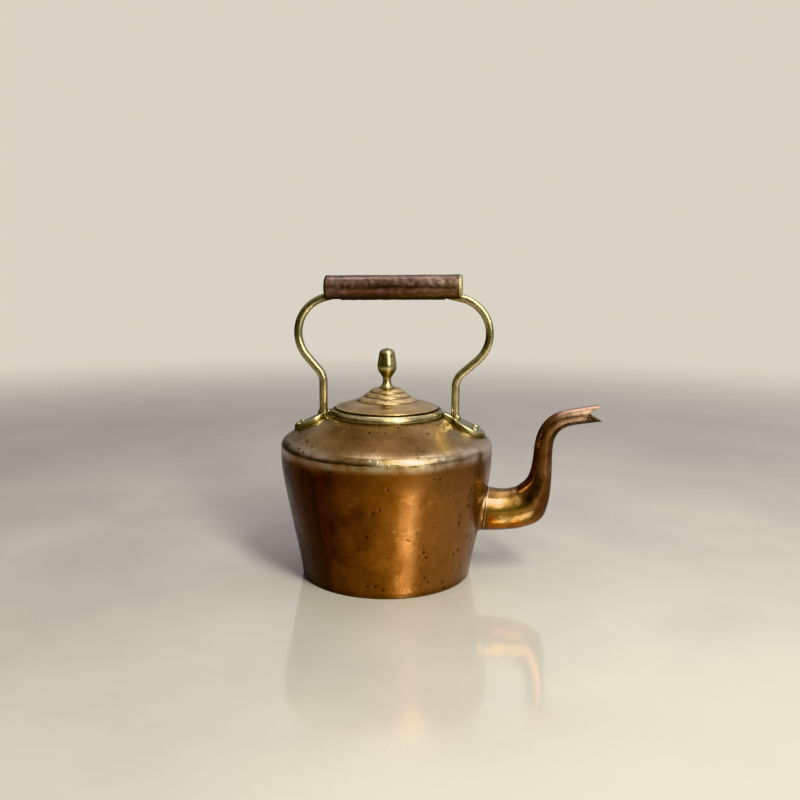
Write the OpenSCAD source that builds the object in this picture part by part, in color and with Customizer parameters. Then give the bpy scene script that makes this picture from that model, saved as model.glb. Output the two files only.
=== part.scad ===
// Copper kettle: tapered body, swan-neck spout, brass strap handle with a tubular grip,
// and a stepped lid that lifts out of a brass collar.
// Millimetres, +Z up, +X towards the spout. The origin is the centre of the flat base.

/* [Body] */
// Largest radius of the body
belly_r = 102.3; // [98:0.1:106]
// Height of the largest radius
belly_z = 121.5; // [116:0.5:128]
// Angle that the side wall leans outwards, in degrees
wall_lean = 11; // [9:0.1:13]
// Radius of the long curve that ends the side wall
sweep_r = 152; // [130:1:170]
// Radius of the rounded edge between wall and shoulder
crease_r = 10; // [8:0.5:12]
// Slope of the shoulder below the horizontal, in degrees
shoulder_slope = 25.6; // [24:0.1:27]
// Thickness of the copper sheet
sheet_t = 1.2; // [1:0.1:1.4]
// Height of the turned-up edge of the base
base_edge_h = 3; // [2.6:0.1:4]

/* [Mouth and lid] */
// Radius of the bore of the collar
mouth_r = 46; // [44:0.2:47]
// Outer radius of the collar
collar_r = 54.8; // [54:0.1:56]
// Height of the flat top of the collar, where the lid sits
seat_z = 162.2; // [161:0.1:164]
// Outer radius of the lid
lid_r = 49.6; // [49:0.1:50]
// Radial clearance between the lid's skirt and the collar
skirt_gap = 0.3; // [0.2:0.05:0.6]
// Depth of the lid's skirt below the seat
skirt_h = 11; // [8:0.5:12]
// Height of the flat top of the lid
lid_top_z = 181.6; // [181:0.1:183]
// Height of the knob's tip
knob_tip_z = 220.6; // [219:0.1:222]

/* [Spout] */
// Height of the middle of the spout's root
root_z = 66.2; // [65:0.1:68]
// Outer radius of the spout's root
root_r = 21.2; // [20.6:0.1:22]
// Radius of the concave curve from the body wall to the spout
flare_r = 9; // [8:0.5:10]
// Depth of the side notches that give the tip its two lips
lip_notch = 12; // [8:0.5:14]

/* [Handle] */
// Thickness of the bar in the plane of the handle
bar_t = 7.6; // [7:0.1:8]
// Width of the bar across the handle
bar_w = 9.2; // [8.6:0.1:9.4]
// Distance of the rear arm from the middle of the body
rear_arm_x = 62.5; // [61:0.1:64]
// Distance of the front arm from the middle of the body
front_arm_x = 66.2; // [65:0.1:68]
// Radius of the rear arm's bulge
rear_bulge_r = 35; // [33:0.5:36]
// Radius of the front arm's bulge
front_bulge_r = 34; // [32:0.5:35]
// Thickness of the feet
foot_t = 4.8; // [4:0.1:5.4]
// Radius of the round pad of each foot
foot_r = 16.5; // [15.5:0.1:17]
// Width of the foot where the bar stands on it
foot_neck_w = 13; // [12:0.2:15]
// Outer radius of the grip
grip_r = 12; // [11.8:0.1:12.4]
// Length of the grip, with its caps
grip_len = 132; // [130:0.2:134]
// Tilt of the grip, front end up, in degrees
grip_tilt = 0.8; // [0:0.1:1]

/* [Hidden] */
$fn = 96;
COPPER = "#b4693f";
DARK_COPPER = "#6b4136";
BRASS = "#b59a4c";
TINNED = "#c9b796";
fit = 0.05;                    // clearance of pieces that are soldered or riveted together

// Outline of the body, as a long arc that meets the straight wall and a short arc that
// meets the straight shoulder. depth is the distance inwards from the outer surface.
sweep_x = belly_r - sweep_r;
split_angle = asin(2 / sweep_r);        // where the shoulder sheet joins the wall
turn_angle = 2;                         // where the short arc takes over
crease_x = sweep_x + (sweep_r - crease_r) * cos(turn_angle);
crease_z = belly_z + (sweep_r - crease_r) * sin(turn_angle);
normal_angle = 90 - shoulder_slope;     // direction square to the shoulder
function wall_x(z, depth) =
    sweep_x + (sweep_r - depth) / cos(wall_lean) - (belly_z - z) * tan(wall_lean);
function shoulder_z(x, depth) =
    crease_z + (crease_r - depth - (x - crease_x) * cos(normal_angle)) / sin(normal_angle);
function arc(cx, cz, r, from, to, steps) =
    [for (i = [0 : steps]) let (a = from + (to - from) * i / steps) [cx + r * cos(a), cz + r * sin(a)]];
function reversed(list) = [for (i = [len(list) - 1 : -1 : 0]) list[i]];
function wall_side(depth) = concat(
    [[wall_x(base_edge_h, depth), base_edge_h]],
    arc(sweep_x, belly_z, sweep_r - depth, -wall_lean, split_angle, 7));
function shoulder_side(depth, inner_x) = concat(
    arc(sweep_x, belly_z, sweep_r - depth, split_angle, turn_angle, 1),
    arc(crease_x, crease_z, crease_r - depth, turn_angle, normal_angle, 9),
    [[inner_x, shoulder_z(inner_x, depth)]]);

// A smooth curve through hand-set stations: Catmull-Rom, with each end station repeated.
function station(list, i) = list[max(0, min(len(list) - 1, i))];
function blend(a, b, c, d, t) =
    0.5 * (2 * b + (c - a) * t + (2 * a - 5 * b + 4 * c - d) * t * t
        + (3 * b - a - 3 * c + d) * t * t * t);
function smooth(list, steps) = concat(
    [for (i = [0 : len(list) - 2]) for (k = [0 : steps - 1])
        blend(station(list, i - 1), list[i], list[i + 1], station(list, i + 2), k / steps)],
    [list[len(list) - 1]]);

// Collar and its neck
neck_r = mouth_r + sheet_t;             // outside of the neck that hangs in the mouth
neck_bottom_z = seat_z - 13;
collar_edge_h = 1.3;                    // upright edge below the collar's rounded top
collar_round_x = mouth_r + 4.4;         // where the rounded top meets the seat
collar_round_z = shoulder_z(collar_r, 0) + collar_edge_h;

// Lid
lid_rim_z = seat_z + 0.1;
lid_rim_h = 1.7;
steps_x = [12, 16.8, 22.2, 29];       // radii between the three stepped rings
steps_z = [lid_top_z, lid_top_z - 3.7, lid_top_z - 7.8, lid_top_z - 12];
ring_bulge = 0.5;                       // 0 for straight steps, 1 for quarter rounds
tang_r = 2;
washer_t = 1.2;

// Spout stations: x, z, direction in degrees, half height, half width
root_x = 97.5;
root_tilt = -6;
spout_t = 1.2;
spout_sides = 24;
SPOUT = [
    [root_x, root_z, root_tilt, root_r, root_r],
    [106, 65.8, -2, 20.5, 20.2],
    [116, 66.3, 5, 19.9, 18.6],
    [126, 68.1, 17, 20.0, 17.2],
    [137.5, 73.2, 40, 20.0, 15.2],
    [143.4, 83.1, 57, 16.2, 13.4],
    [147.3, 94, 72, 12.2, 11.6],
    [149.2, 105, 83, 10.2, 10.2],
    [150.1, 118, 88, 9.2, 9.4],
    [150.8, 129.5, 83, 8.8, 8.9],
    [152.9, 139.4, 70, 8.6, 8.6],
    [157.2, 147.6, 53, 8.5, 8.3],
    [163.3, 153.3, 33, 8.4, 8.0],
    [172.3, 157.2, 16, 8.0, 7.7],
    [186, 159.9, 8, 7.9, 7.4],
    [202.5, 162.6, 17, 8.1, 7.2]];
spout_rings = smooth(SPOUT, 2);
tip = SPOUT[len(SPOUT) - 1];

// Handle: each arm rises from its foot, turns out round a knee and round the bulge, and
// runs into the lower part of the grip
bar_bevel = 1.7;
rear_knee = [rear_arm_x + 17.5, 186];
front_knee = [front_arm_x + 17.5, 184];
knee_r = 17.5;
rear_bulge = [87.0 - rear_bulge_r, 233.8];
front_bulge = [97.6 - front_bulge_r, 235];
entry_angle = 75;                       // where the bar leaves the bulge for the grip
arm_start_z = 150;
function knee_turn(knee, bulge, bulge_r) =
    let (way = bulge - knee)
    atan2(way[1], way[0]) + acos((knee_r + bulge_r) / norm(way));
function arm(arm_x, knee, bulge, bulge_r) =
    let (turn = knee_turn(knee, bulge, bulge_r))
    concat([[arm_x, arm_start_z]],
        arc(knee[0], knee[1], knee_r, 180, turn, 5),
        arc(bulge[0], bulge[1], bulge_r, turn - 180, entry_angle, 16));
bar_path = concat(
    [for (p = arm(rear_arm_x, rear_knee, rear_bulge, rear_bulge_r)) [-p[0], p[1]]],
    [[-48, 271], [-40, 271.7], [44, 272.9], [54, 272.6]],
    reversed(arm(front_arm_x, front_knee, front_bulge, front_bulge_r)));

grip_mid = [5.1, 0, 277.7];
cap_t = 2.6;                            // length of each end cap
tube_len = grip_len - 2 * cap_t;
grip_notch_len = 14;
grip_notch_w = bar_w + 0.8;
cap_notch_h = 7.9;
foot_inner_x = collar_r + 0.5;
foot_outer_rear = 91.6;                 // outer ends of the two feet
foot_outer_front = 95.2;
rivet_x = 84.4;                         // two rivets in each foot, at this distance
rivet_turn = 5.6;                       // and this many degrees to each side
rivet_r = 2.4;
rove_r = 5;
rove_t = 1.2;

// Ring of points square to the path of a sweep that lies in the XZ plane
function ring(at, direction, outline) =
    [for (q = outline) [at[0] - q[0] * sin(direction), q[1], at[1] + q[0] * cos(direction)]];
function heading(path, i) =
    let (way = station(path, i + 1) - station(path, i - 1)) atan2(way[1], way[0]);
function side_faces(rings, n, from, flip) =
    [for (i = [0 : rings - 2]) for (j = [0 : n - 1])
        let (a = from + i * n + j, b = from + i * n + (j + 1) % n)
        each flip ? [[a, b, b + n], [a, b + n, a + n]] : [[a, b + n, b], [a, a + n, b + n]]];
function ellipse(high, wide, n) = [for (j = [0 : n - 1]) [high * cos(360 * j / n), wide * sin(360 * j / n)]];

// Solid bar of one cross-section along a path
module swept_bar(path, outline) {
    n = len(outline);
    points = [for (i = [0 : len(path) - 1]) each ring(path[i], heading(path, i), outline)];
    polyhedron(points, concat(
        side_faces(len(path), n, 0, false),
        [[for (j = [0 : n - 1]) j], [for (j = [n - 1 : -1 : 0]) (len(path) - 1) * n + j]]));
}

// Hollow tube along stations of x, z, direction, half height and half width
module swept_tube(stations, wall, n) {
    rings = len(stations);
    outer = [for (s = stations) each ring(s, s[2], ellipse(s[3], s[4], n))];
    inner = [for (s = stations) each ring(s, s[2], ellipse(s[3] - wall, s[4] - wall, n))];
    last = (rings - 1) * n;
    shift = rings * n;
    polyhedron(concat(outer, inner), concat(
        side_faces(rings, n, 0, false),
        side_faces(rings, n, shift, true),
        [for (j = [0 : n - 1]) let (k = (j + 1) % n) each
            [[j, k, k + shift], [j, k + shift, j + shift]]],
        [for (j = [0 : n - 1]) let (k = (j + 1) % n) each
            [[last + j, last + k + shift, last + k], [last + j, last + j + shift, last + k + shift]]]));
}

// Everything inside the body's outer surface
module body_core() {
    side = wall_side(0);
    rotate_extrude() polygon(concat([[0, base_edge_h]], side, [[0, belly_z + 2]]));
}

// Puts its children at the two rivets on the side towards +X, with Z square to the shoulder
module at_rivets() {
    for (turn = [-rivet_turn, rivet_turn]) rotate(turn)
        translate([rivet_x, 0, shoulder_z(rivet_x, 0)]) rotate([0, shoulder_slope, 0]) children();
}

module base_plate() {
    edge = wall_x(base_edge_h, 0);
    corner = 2;
    color(COPPER) rotate_extrude()
        polygon(concat(
            [[0, 0]],
            arc(edge - 0.2 - corner, corner, corner, -90, 0, 6),
            [[edge, base_edge_h], [wall_x(base_edge_h, sheet_t), base_edge_h]],
            arc(edge - sheet_t - 1.2, sheet_t + 1.2, 1, 0, -90, 4),
            [[0, sheet_t + 0.2]]));
}

module body_wall() {
    color(COPPER) difference() {
        rotate_extrude() polygon(concat(wall_side(0), reversed(wall_side(sheet_t))));
        translate([root_x, 0, root_z]) rotate([0, 90 - root_tilt, 0])
            cylinder(r = root_r - spout_t, h = 60, center = true);
    }
}

module shoulder() {
    color(COPPER) difference() {
        rotate_extrude() polygon(concat(
            shoulder_side(0, neck_r + fit),
            reversed(shoulder_side(sheet_t, neck_r + fit))));
        for (side = [0, 180]) rotate(side) at_rivets()
            cylinder(r = rivet_r + fit, h = 12, center = true);
    }
}

module mouth_collar() {
    rise = seat_z - collar_round_z;
    color(BRASS) rotate_extrude() polygon(concat(
        [[mouth_r, neck_bottom_z], [neck_r, neck_bottom_z], [neck_r, shoulder_z(neck_r, -fit)],
            [collar_r, shoulder_z(collar_r, -fit)]],
        [for (i = [0 : 8]) let (a = 90 * i / 8)
            [collar_round_x + (collar_r - collar_round_x) * cos(a), collar_round_z + rise * sin(a)]],
        [[mouth_r, seat_z]]));
}

// Concave ring that carries the body wall out to the root of the spout
module spout_flange() {
    reach = 9;
    $fn = 240;
    color(COPPER) difference() {
        translate([root_x, 0, root_z]) rotate([0, 90 - root_tilt, 0]) rotate_extrude()
            polygon(concat(
                [[root_r - spout_t, 0]],
                [for (i = [0 : 8]) let (a = 90 * i / 8 * reach / flare_r)
                    [root_r + flare_r * (1 - cos(a)), -flare_r * sin(a)]],
                [[root_r - spout_t, -reach]]));
        body_core();
    }
}

module spout() {
    notch_x = tip[0] - lip_notch;
    color(DARK_COPPER) difference() {
        swept_tube(spout_rings, spout_t, spout_sides);
        rotate([90, 0, 0]) linear_extrude(40, center = true)
            polygon([[notch_x, tip[1] - 1], [notch_x + 20, tip[1] + 13], [notch_x + 20, tip[1] - 11]]);
    }
}

// Round pad on the shoulder with a short neck to the collar, for the side towards +X
module foot(outer_x) {
    pad_x = outer_x - foot_r;
    difference() {
        intersection() {
            rotate_extrude() polygon([
                [foot_inner_x, shoulder_z(foot_inner_x, 0)], [outer_x, shoulder_z(outer_x, 0)],
                [outer_x, shoulder_z(outer_x, -foot_t)],
                [foot_inner_x, shoulder_z(foot_inner_x, -foot_t)]]);
            translate([0, 0, crease_z]) linear_extrude(60) union() {
                translate([foot_inner_x / 2, -foot_neck_w / 2])
                    square([pad_x - foot_inner_x / 2, foot_neck_w]);
                translate([pad_x, 0]) circle(r = foot_r);
            }
        }
        at_rivets() cylinder(r = rivet_r + fit, h = 20, center = true);
    }
}

module handle_foot_rear() {
    color(BRASS) rotate(180) foot(foot_outer_rear);
}

module handle_foot_front() {
    color(BRASS) foot(foot_outer_front);
}

// Domed heads on the feet, and peened ends inside the kettle
module foot_rivets() {
    head_r = 3.6;
    head_h = 1.6;
    inner_end = sheet_t + rove_t + 0.3;
    color(BRASS) for (side = [0, 180]) rotate(side) at_rivets() {
        rotate_extrude() polygon(concat(
            [[0, -inner_end - 1.4], [2.6, -inner_end - 1.4], [3.4, -inner_end - 0.6], [3.4, -inner_end],
                [rivet_r, -inner_end], [rivet_r, foot_t + fit], [head_r, foot_t + fit]],
            [for (i = [1 : 6]) let (a = 90 * i / 6) [head_r * cos(a), foot_t + fit + head_h * sin(a)]]));
    }
}

module rivet_roves() {
    color(COPPER) for (side = [0, 180]) rotate(side) at_rivets()
        translate([0, 0, -sheet_t - 0.25 - rove_t]) difference() {
            cylinder(r = rove_r, h = rove_t);
            cylinder(r = rivet_r + fit, h = 10, center = true);
        }
}

// One bar from foot to foot, bevelled along its four edges
module handle_bar() {
    t = bar_t / 2;
    w = bar_w / 2;
    b = bar_bevel;
    color(BRASS) difference() {
        swept_bar(bar_path, [[t, b - w], [t, w - b], [t - b, w], [b - t, w],
            [-t, w - b], [-t, b - w], [b - t, -w], [t - b, -w]]);
        rotate_extrude() polygon([[50, 120], [100, 120],
            [100, shoulder_z(100, -foot_t)], [50, shoulder_z(50, -foot_t)]]);
    }
}

// Places its children in the grip's frame: middle of the grip, along X
module in_grip() {
    translate(grip_mid) rotate([0, -grip_tilt, 0]) children();
}

module grip_tube() {
    color(DARK_COPPER) in_grip() difference() {
        rotate([0, 90, 0]) cylinder(r = grip_r, h = tube_len, center = true);
        rotate([0, 90, 0]) cylinder(r = grip_r - sheet_t, h = tube_len + 2, center = true);
        for (side = [-1, 1])
            translate([side * tube_len / 2, 0, -grip_r])
                cube([2 * grip_notch_len, grip_notch_w, 8], center = true);
    }
}

// Domed end of the grip, notched for the bar, for the end towards +X
module grip_cap() {
    round_r = 2.2;
    difference() {
        translate([tube_len / 2, 0, 0]) rotate([0, 90, 0]) rotate_extrude()
            polygon(concat([[0, 0], [grip_r, 0]],
                arc(grip_r - round_r, cap_t - round_r, round_r, 0, 75, 5), [[0, cap_t]]));
        translate([tube_len / 2, 0, -grip_r])
            cube([20, grip_notch_w, 2 * cap_notch_h], center = true);
    }
}

module grip_cap_rear() {
    color(DARK_COPPER) in_grip() rotate([0, 0, 180]) grip_cap();
}

module grip_cap_front() {
    color(TINNED) in_grip() grip_cap();
}

module lid_skirt() {
    outer = mouth_r - skirt_gap;
    color(COPPER) translate([0, 0, seat_z - skirt_h]) difference() {
        cylinder(r = outer, h = skirt_h + fit);
        translate([0, 0, -1]) cylinder(r = outer - sheet_t, h = skirt_h + 3);
    }
}

// Rounded steps from the lid's flat top down to its sloping rim
function ring_swell(round_part, straight_part) =
    ring_bulge * round_part + (1 - ring_bulge) * straight_part;
function lid_steps(shift) = concat(
    [[steps_x[0] - shift, steps_z[0] - shift]],
    [for (s = [0 : 2]) for (i = [1 : 5]) let (t = i / 5, a = 90 * t) [
        steps_x[s] + (steps_x[s + 1] - steps_x[s]) * ring_swell(sin(a), t) - shift,
        steps_z[s + 1] + (steps_z[s] - steps_z[s + 1]) * ring_swell(cos(a), 1 - t) - shift]]);

module lid_cover() {
    rim_inner = mouth_r - skirt_gap - sheet_t;
    color(COPPER) rotate_extrude() polygon(concat(
        [[tang_r + fit, lid_top_z]],
        lid_steps(0),
        [[40, 167], [lid_r - 1, lid_rim_z + lid_rim_h], [lid_r - 0.2, lid_rim_z + lid_rim_h - 0.5],
            [lid_r, lid_rim_z + 1], [lid_r - 0.3, lid_rim_z + 0.4], [lid_r - 0.9, lid_rim_z],
            [rim_inner, lid_rim_z], [rim_inner, lid_rim_z + lid_rim_h]],
        [[38.6, 166]],
        reversed(lid_steps(sheet_t)),
        [[tang_r + fit, lid_top_z - sheet_t]]));
}

// Acorn knob with its tang, which goes through the lid and is peened over the washer
module lid_knob() {
    washer_bottom = lid_top_z - sheet_t - washer_t;
    acorn = smooth([[1, knob_tip_z - 0.2], [4.8, knob_tip_z - 1.6], [7.1, knob_tip_z - 3.2],
        [8, knob_tip_z - 7.5], [9.3, knob_tip_z - 17.4], [8.6, knob_tip_z - 21.6],
        [6.4, knob_tip_z - 25.4], [4, knob_tip_z - 30], [4.4, knob_tip_z - 34.4],
        [7.3, lid_top_z + 0.4]], 3);
    color(BRASS) rotate_extrude() polygon(concat(
        [[0, knob_tip_z + 0.2]], acorn,
        [[7.3, lid_top_z], [tang_r, lid_top_z], [tang_r, washer_bottom], [3.2, washer_bottom],
            [2.6, washer_bottom - 1.2], [0, washer_bottom - 1.6]]));
}

module knob_washer() {
    color(BRASS) translate([0, 0, lid_top_z - sheet_t - washer_t]) difference() {
        cylinder(r = 6, h = washer_t);
        cylinder(r = tang_r + fit, h = 10, center = true);
    }
}

base_plate();
body_wall();
shoulder();
mouth_collar();
spout_flange();
spout();
handle_foot_rear();
handle_foot_front();
foot_rivets();
rivet_roves();
handle_bar();
grip_tube();
grip_cap_rear();
grip_cap_front();
lid_skirt();
lid_cover();
lid_knob();
knob_washer();
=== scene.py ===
"""Looks of the copper kettle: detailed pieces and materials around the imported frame.

Lengths are in millimetres until a mesh is made, and every piece lies where its CAD node lies.
"""
from math import acos, asin, atan2, cos, degrees, hypot, pi, radians, sin, sqrt, tan

import bmesh
import bpy
import numpy as np
from mathutils import Matrix, Vector, noise


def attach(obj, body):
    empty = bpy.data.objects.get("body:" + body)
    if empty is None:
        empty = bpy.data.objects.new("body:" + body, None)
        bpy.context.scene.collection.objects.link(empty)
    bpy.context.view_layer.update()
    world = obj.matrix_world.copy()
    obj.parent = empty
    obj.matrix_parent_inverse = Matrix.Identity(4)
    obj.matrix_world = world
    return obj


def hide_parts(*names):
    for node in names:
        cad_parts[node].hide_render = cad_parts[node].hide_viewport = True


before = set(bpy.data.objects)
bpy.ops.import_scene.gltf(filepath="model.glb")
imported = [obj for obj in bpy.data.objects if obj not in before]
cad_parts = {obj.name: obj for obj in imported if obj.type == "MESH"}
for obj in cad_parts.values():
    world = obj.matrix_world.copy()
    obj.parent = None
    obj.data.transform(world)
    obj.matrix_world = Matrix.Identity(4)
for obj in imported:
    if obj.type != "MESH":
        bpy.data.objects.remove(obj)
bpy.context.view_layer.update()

# ------------------------------------------------------------------ sizes
MM = 0.001
SHEET = 1.2                              # thickness of the copper sheet

BELLY_R, BELLY_Z = 102.3, 121.5          # largest radius and its height
LEAN = radians(11)                       # how far the side wall leans out
SWEEP_R, CREASE_R = 152.0, 10.0          # long curve of the wall, short curve of the edge
SLOPE = radians(25.6)                    # the shoulder's slope
BASE_EDGE = 3.0                          # height of the turned-up edge of the base
SPLIT = asin(2 / SWEEP_R)                # where the shoulder sheet joins the wall
TURN = radians(2)                        # where the short curve takes over
NORMAL = pi / 2 - SLOPE                  # direction square to the shoulder
SWEEP_X = BELLY_R - SWEEP_R
CREASE_X = SWEEP_X + (SWEEP_R - CREASE_R) * cos(TURN)
CREASE_Z = BELLY_Z + (SWEEP_R - CREASE_R) * sin(TURN)

MOUTH_R, COLLAR_R, SEAT_Z = 46.0, 54.8, 162.2
NECK_R = MOUTH_R + SHEET
LID_R, LID_TOP, KNOB_TIP = 49.6, 181.6, 220.8
RIM_Z = SEAT_Z + 0.1
LID_STEPS_X = (12.0, 16.8, 22.2, 29.0)
LID_STEPS_Z = (LID_TOP, LID_TOP - 3.7, LID_TOP - 7.8, LID_TOP - 12)
RING_BULGE = 0.5

ROOT = Vector((97.5, 0, 66.2))           # middle of the spout's root
ROOT_TILT, ROOT_R, FLARE_R = radians(-6), 21.2, 9.0
SPOUT = (                                # x, z, direction, half height, half width
    (97.5, 66.2, -6, 21.2, 21.2), (106, 65.8, -2, 20.5, 20.2), (116, 66.3, 5, 19.9, 18.6),
    (126, 68.1, 17, 20.0, 17.2), (137.5, 73.2, 40, 20.0, 15.2), (143.4, 83.1, 57, 16.2, 13.4),
    (147.3, 94, 72, 12.2, 11.6), (149.2, 105, 83, 10.2, 10.2), (150.1, 118, 88, 9.2, 9.4),
    (150.8, 129.5, 83, 8.8, 8.9), (152.9, 139.4, 70, 8.6, 8.6), (157.2, 147.6, 53, 8.5, 8.3),
    (163.3, 153.3, 33, 8.4, 8.0), (172.3, 157.2, 16, 8.0, 7.7), (186, 159.9, 8, 7.9, 7.4),
    (202.5, 162.6, 17, 8.1, 7.2))
NOTCH = (190.5, 161.6)                   # x and z of the bottom of the notch in the tip
NOTCH_RISE, NOTCH_FALL = 14 / 20, -10 / 20

BAR_T, BAR_W = 7.6, 9.2                  # handle bar, in its plane and across it
KNEE_R = 17.5
REAR = {"arm": 62.5, "knee": (80.0, 186.0), "bulge": (52.0, 233.8), "bulge_r": 35.0}
FRONT = {"arm": 66.2, "knee": (83.7, 184.0), "bulge": (63.6, 235.0), "bulge_r": 34.0}
FOOT_IN, FOOT_R, FOOT_NECK, FOOT_T = 55.3, 16.5, 6.5, 4.8   # inner end, pad, half neck, thickness
PAD_FRONT, PAD_REAR = 95.2 - FOOT_R, 91.6 - FOOT_R          # middles of the round pads
RIVET_X, RIVET_TURN, RIVET_R, RIVET_HEAD = 84.4, radians(5.6), 2.4, 3.6
GRIP_R, GRIP_LEN, CAP_T = 12.0, 132.0, 2.6
GRIP_TILT, GRIP_MID = radians(0.8), Vector((5.1, 0, 277.7))
GRIP_NOTCH_LEN, GRIP_NOTCH_W = 14.0, 10.0


# ------------------------------------------------------------------ outlines
def wall_x(z, depth=0.0):
    """Radius of the straight side wall, depth mm in from its outer face."""
    return SWEEP_X + (SWEEP_R - depth) / cos(LEAN) - (BELLY_Z - z) * tan(LEAN)


def shoulder_z(x, depth=0.0):
    """Height of the straight shoulder at radius x."""
    return CREASE_Z + (CREASE_R - depth - (x - CREASE_X) * cos(NORMAL)) / sin(NORMAL)


def body_x(z):
    """Radius of the body's outer face at a height below the edge curve."""
    if z < BELLY_Z - SWEEP_R * sin(LEAN):
        return wall_x(z)
    return SWEEP_X + sqrt(SWEEP_R ** 2 - (z - BELLY_Z) ** 2)


def arc(cx, cz, r, start, end, steps):
    return [(cx + r * cos(a), cz + r * sin(a)) for a in np.linspace(start, end, steps + 1)]


def line(start, end, steps):
    return [tuple(p) for p in np.linspace(start, end, steps + 1)]


def joined(*runs):
    """One outline from several runs, without the points that repeat."""
    points = []
    for p in (p for run in runs for p in run):
        if not points or hypot(p[0] - points[-1][0], p[1] - points[-1][1]) > 1e-4:
            points.append(p)
    return points


def catmull(stations, steps):
    """A smooth curve through the stations, each end station repeated."""
    s = np.array(stations, float)
    s = np.vstack([s[:1], s, s[-1:]])
    made = []
    for a, b, c, d in zip(s[:-3], s[1:-2], s[2:-1], s[3:]):
        for t in np.arange(steps) / steps:
            made.append(0.5 * (2 * b + (c - a) * t + (2 * a - 5 * b + 4 * c - d) * t * t
                               + (3 * b - a - 3 * c + d) * t ** 3))
    return np.array(made + [s[-1]])


def smoothstep(low, high, value):
    t = min(1.0, max(0.0, (value - low) / (high - low)))
    return t * t * (3 - 2 * t)


# ------------------------------------------------------------------ mesh code
def grid_faces(rows, columns, close_rows=False, start=0):
    """Quads of a grid that closes round its columns, and round its rows if asked."""
    faces = []
    for i in range(rows if close_rows else rows - 1):
        for j in range(columns):
            k = (j + 1) % columns
            a, b = start + i * columns, start + ((i + 1) % rows) * columns
            faces.append((a + j, a + k, b + k, b + j))
    return faces


def lathe(outline, columns=192):
    """The closed outline of (radius, height) turned about Z."""
    angles = np.arange(columns) * 2 * pi / columns
    r = np.array([p[0] for p in outline])[:, None]
    z = np.array([p[1] for p in outline])[:, None]
    points = np.stack([r * np.cos(angles), r * np.sin(angles), z + 0 * angles], axis=-1)
    return points.reshape(-1, 3), grid_faces(len(outline), columns, close_rows=True)


def make_piece(name, points, faces, materials, body, nodes, push=None, pick=None, marks=(),
               sharp=38, cutters=()):
    """A mesh piece from millimetre points. push(point, normal) says how far a point goes in, as
    a length along the normal or as a vector, pick(centre, normal) names a face's material by
    number, and marks are attribute functions."""
    mesh = bpy.data.meshes.new(name)
    mesh.from_pydata([tuple(p) for p in points], [], faces)
    bm = bmesh.new()
    bm.from_mesh(mesh)
    bmesh.ops.remove_doubles(bm, verts=bm.verts, dist=1e-4)
    bmesh.ops.recalc_face_normals(bm, faces=bm.faces)
    bm.normal_update()
    if push:
        moves = [(v, push(v.co, v.normal)) for v in bm.verts]
        moves = [(v, move if isinstance(move, Vector) else v.normal * move) for v, move in moves]
        for v, move in moves:
            v.co -= move
    bm.to_mesh(mesh)
    bm.free()
    piece = bpy.data.objects.new(name, mesh)
    bpy.context.scene.collection.objects.link(piece)
    for cutter in cutters:
        cut(piece, cutter)
    mesh = piece.data
    for material in materials:
        mesh.materials.append(material)
    for face in mesh.polygons:
        face.material_index = pick(face.center, face.normal) if pick else 0
    for mark in marks:
        values = mesh.attributes.new(mark.__name__.split("_")[0], "FLOAT", "POINT")
        values.data.foreach_set("value", [mark(v.co) for v in mesh.vertices])
    mesh.shade_smooth()
    mesh.set_sharp_from_angle(angle=radians(sharp))
    mesh.transform(Matrix.Scale(MM, 4))
    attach(piece, body)
    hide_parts(*nodes)
    return piece


def cut(piece, cutter):
    """Takes a helper solid, given as points and faces, away from the piece."""
    mesh = bpy.data.meshes.new("cutter")
    mesh.from_pydata([tuple(p) for p in cutter[0]], [], cutter[1])
    bm = bmesh.new()
    bm.from_mesh(mesh)
    bmesh.ops.recalc_face_normals(bm, faces=bm.faces)
    bm.to_mesh(mesh)
    bm.free()
    helper = bpy.data.objects.new("cutter", mesh)
    bpy.context.scene.collection.objects.link(helper)
    change = piece.modifiers.new("cut", "BOOLEAN")
    change.operation, change.solver, change.object = "DIFFERENCE", "EXACT", helper
    graph = bpy.context.evaluated_depsgraph_get()
    piece.data = bpy.data.meshes.new_from_object(piece.evaluated_get(graph))
    piece.modifiers.clear()
    bpy.data.objects.remove(helper)


def box_solid(low, high, place=Matrix.Identity(4)):
    corners = [(x, y, z) for x in (low[0], high[0]) for y in (low[1], high[1]) for z in (low[2], high[2])]
    faces = [(0, 1, 3, 2), (4, 6, 7, 5), (0, 4, 5, 1), (2, 3, 7, 6), (0, 2, 6, 4), (1, 5, 7, 3)]
    return [place @ Vector(c) for c in corners], faces


def moved(points, place):
    return [place @ Vector(p) for p in points]


# ------------------------------------------------------------------ materials
def rgb(text):
    """Linear colour of a #rrggbb value."""
    parts = [int(text[i:i + 2], 16) / 255 for i in (1, 3, 5)]
    return [p / 12.92 if p <= 0.04045 else ((p + 0.055) / 1.055) ** 2.4 for p in parts] + [1.0]


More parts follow.
